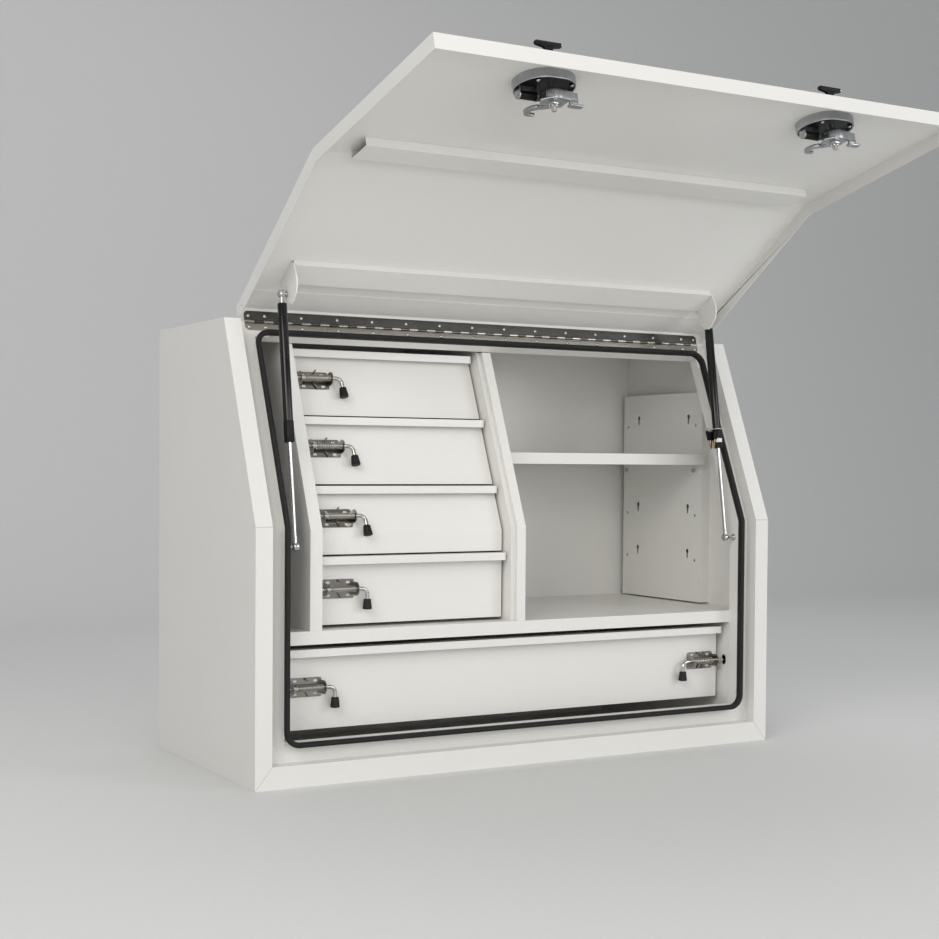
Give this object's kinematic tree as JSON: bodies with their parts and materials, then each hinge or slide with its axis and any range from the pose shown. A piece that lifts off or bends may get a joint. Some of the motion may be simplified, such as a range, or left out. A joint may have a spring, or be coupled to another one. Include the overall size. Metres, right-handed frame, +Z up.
{
  "type": "gullwing toolbox",
  "caption": "White powder coated gullwing toolbox with a lifting lid on gas struts, a drawer cabinet, a full width drawer and a shelf bay.",
  "frame": {"origin": "centre of the underside of the case, midway across its width and depth", "axes": "X across the width to the viewer's right, Y from the sloping front to the back, Z up"},
  "size_m": [1.2, 1.0926, 1.2755],
  "materials": {
    "powder_coat": "satin",
    "seal_rubber": "matt",
    "stainless": "satin",
    "zinc_plate": "satin",
    "strut_black": "gloss",
    "chrome_rod": "polished",
    "black_plastic": "satin",
    "keys": "satin"
  },
  "bodies": {
    "case": {"case_wrap": "powder_coat", "left_end_panel": "powder_coat", "right_end_panel": "powder_coat", "front_frame": "powder_coat", "door_seal": "seal_rubber", "middle_deck": "powder_coat", "lower_bay_walls": "powder_coat", "cabinet_left_wall": "powder_coat", "cabinet_right_wall": "powder_coat", "keyhole_panel": "powder_coat", "shelf": "powder_coat", "shelf_brackets": "powder_coat", "shelf_bolts": "zinc_plate", "runner_rails": "zinc_plate", "hinge_case_leaf": "stainless", "hinge_pin": "stainless", "hinge_case_screws": "zinc_plate", "strut_wall_studs": "zinc_plate"},
    "lid": {"lid_panel": "powder_coat", "lid_middle_rail": "powder_coat", "lid_hinge_rail": "powder_coat", "strut_brackets": "powder_coat", "hinge_lid_leaf": "stainless", "hinge_lid_screws": "zinc_plate", "latch_housings": "black_plastic", "latch_clamp_rings": "zinc_plate", "latch_nuts": "zinc_plate"},
    "left_handle": {"left_latch_handle": "black_plastic"},
    "left_cam": {"left_latch_cam": "zinc_plate"},
    "left_rod": {"left_strut_rod": "chrome_rod"},
    "left_tube": {"left_strut_tube": "strut_black", "left_strut_end": "strut_black"},
    "right_handle": {"right_latch_handle": "black_plastic"},
    "right_cam": {"right_latch_cam": "zinc_plate"},
    "right_rod": {"right_strut_rod": "chrome_rod"},
    "right_tube": {"right_strut_tube": "strut_black", "right_strut_end": "strut_black", "keys": "keys"},
    "drawer1": {"drawer_1": "powder_coat", "bolt_bracket_1": "zinc_plate", "bolt_spring_1": "stainless"},
    "bolt1": {"bolt_rod_1": "zinc_plate"},
    "drawer2": {"drawer_2": "powder_coat", "bolt_bracket_2": "zinc_plate", "bolt_spring_2": "stainless"},
    "bolt2": {"bolt_rod_2": "zinc_plate"},
    "drawer3": {"drawer_3": "powder_coat", "bolt_bracket_3": "zinc_plate", "bolt_spring_3": "stainless"},
    "bolt3": {"bolt_rod_3": "zinc_plate"},
    "drawer4": {"drawer_4": "powder_coat", "bolt_bracket_4": "zinc_plate", "bolt_spring_4": "stainless"},
    "bolt4": {"bolt_rod_4": "zinc_plate"},
    "drawer5": {"drawer_5": "powder_coat", "bolt_brackets_5": "zinc_plate", "bolt_spring_5_left": "stainless", "bolt_spring_5_right": "stainless"},
    "bolt5_left": {"bolt_rod_5_left": "zinc_plate"},
    "bolt5_right": {"bolt_rod_5_right": "zinc_plate"}
  },
  "joints": [
    {"name": "lid_hinge", "type": "hinge", "parent": "case", "child": "lid", "pos_m": [0, -0.07352, 0.867], "axis": [-1, 0, 0], "range_deg": [-103.4, 0]},
    {"name": "left_rod_turn", "type": "hinge", "parent": "case", "child": "left_rod", "pos_m": [-0.508, -0.226, 0.442], "axis": [-1, 0, 0], "range_deg": [-0.2, 13.05]},
    {"name": "left_tube_slide", "type": "slide", "parent": "left_rod", "child": "left_tube", "axis": [0, 0.1404, 0.9901], "range_m": [-0.12305, 0.0005], "stiffness_N_per_m": 600, "springref_m": 0.75},
    {"name": "left_handle_fold", "type": "hinge", "parent": "lid", "child": "left_handle", "pos_m": [-0.307, -0.76661, 1.21816], "axis": [1, 0, 0], "range_deg": [-90, 0]},
    {"name": "left_cam_turn", "type": "hinge", "parent": "lid", "child": "left_cam", "pos_m": [-0.301, -0.76307, 1.1726], "axis": [0, 0.2317, 0.9728], "range_deg": [-90.2, 0.2]},
    {"name": "right_rod_turn", "type": "hinge", "parent": "case", "child": "right_rod", "pos_m": [0.508, -0.226, 0.442], "axis": [-1, 0, 0], "range_deg": [-0.2, 13.05]},
    {"name": "right_tube_slide", "type": "slide", "parent": "right_rod", "child": "right_tube", "axis": [0, 0.1404, 0.9901], "range_m": [-0.12305, 0.0005], "stiffness_N_per_m": 600, "springref_m": 0.75},
    {"name": "right_handle_fold", "type": "hinge", "parent": "lid", "child": "right_handle", "pos_m": [0.295, -0.76661, 1.21816], "axis": [1, 0, 0], "range_deg": [-90, 0]},
    {"name": "right_cam_turn", "type": "hinge", "parent": "lid", "child": "right_cam", "pos_m": [0.301, -0.76307, 1.1726], "axis": [0, 0.2317, 0.9728], "range_deg": [-90.2, 0.2]},
    {"name": "drawer1_slide", "type": "slide", "parent": "case", "child": "drawer1", "axis": [0, -1, 0], "range_m": [0, 0.23]},
    {"name": "drawer2_slide", "type": "slide", "parent": "case", "child": "drawer2", "axis": [0, -1, 0], "range_m": [0, 0.27]},
    {"name": "drawer3_slide", "type": "slide", "parent": "case", "child": "drawer3", "axis": [0, -1, 0], "range_m": [0, 0.32]},
    {"name": "drawer4_slide", "type": "slide", "parent": "case", "child": "drawer4", "axis": [0, -1, 0], "range_m": [0, 0.35]},
    {"name": "drawer5_slide", "type": "slide", "parent": "case", "child": "drawer5", "axis": [0, -1, 0], "range_m": [0, 0.38]},
    {"name": "bolt1_slide", "type": "slide", "parent": "drawer1", "child": "bolt1", "axis": [-1, 0, 0], "range_m": [-0.007, 0.008], "stiffness_N_per_m": 400, "deforming": ["bolt_spring_1"]},
    {"name": "bolt2_slide", "type": "slide", "parent": "drawer2", "child": "bolt2", "axis": [-1, 0, 0], "range_m": [-0.007, 0.008], "stiffness_N_per_m": 400, "deforming": ["bolt_spring_2"]},
    {"name": "bolt3_slide", "type": "slide", "parent": "drawer3", "child": "bolt3", "axis": [-1, 0, 0], "range_m": [-0.007, 0.008], "stiffness_N_per_m": 400, "deforming": ["bolt_spring_3"]},
    {"name": "bolt4_slide", "type": "slide", "parent": "drawer4", "child": "bolt4", "axis": [-1, 0, 0], "range_m": [-0.007, 0.008], "stiffness_N_per_m": 400, "deforming": ["bolt_spring_4"]},
    {"name": "bolt5_left_slide", "type": "slide", "parent": "drawer5", "child": "bolt5_left", "axis": [-1, 0, 0], "range_m": [-0.01, 0.008], "stiffness_N_per_m": 400, "deforming": ["bolt_spring_5_left"]},
    {"name": "bolt5_right_slide", "type": "slide", "parent": "drawer5", "child": "bolt5_right", "axis": [1, 0, 0], "range_m": [-0.01, 0.008], "stiffness_N_per_m": 400, "deforming": ["bolt_spring_5_right"]}
  ],
  "couplings": [
    {"joint": "left_rod_turn", "follows": "lid_hinge", "ratio": -0.12428},
    {"joint": "left_tube_slide", "follows": "lid_hinge", "m_per_rad": 0.067907},
    {"joint": "left_cam_turn", "follows": "left_handle_fold", "ratio": 1},
    {"joint": "right_rod_turn", "follows": "lid_hinge", "ratio": -0.12428},
    {"joint": "right_tube_slide", "follows": "lid_hinge", "m_per_rad": 0.067907},
    {"joint": "right_cam_turn", "follows": "right_handle_fold", "ratio": 1}
  ]
}
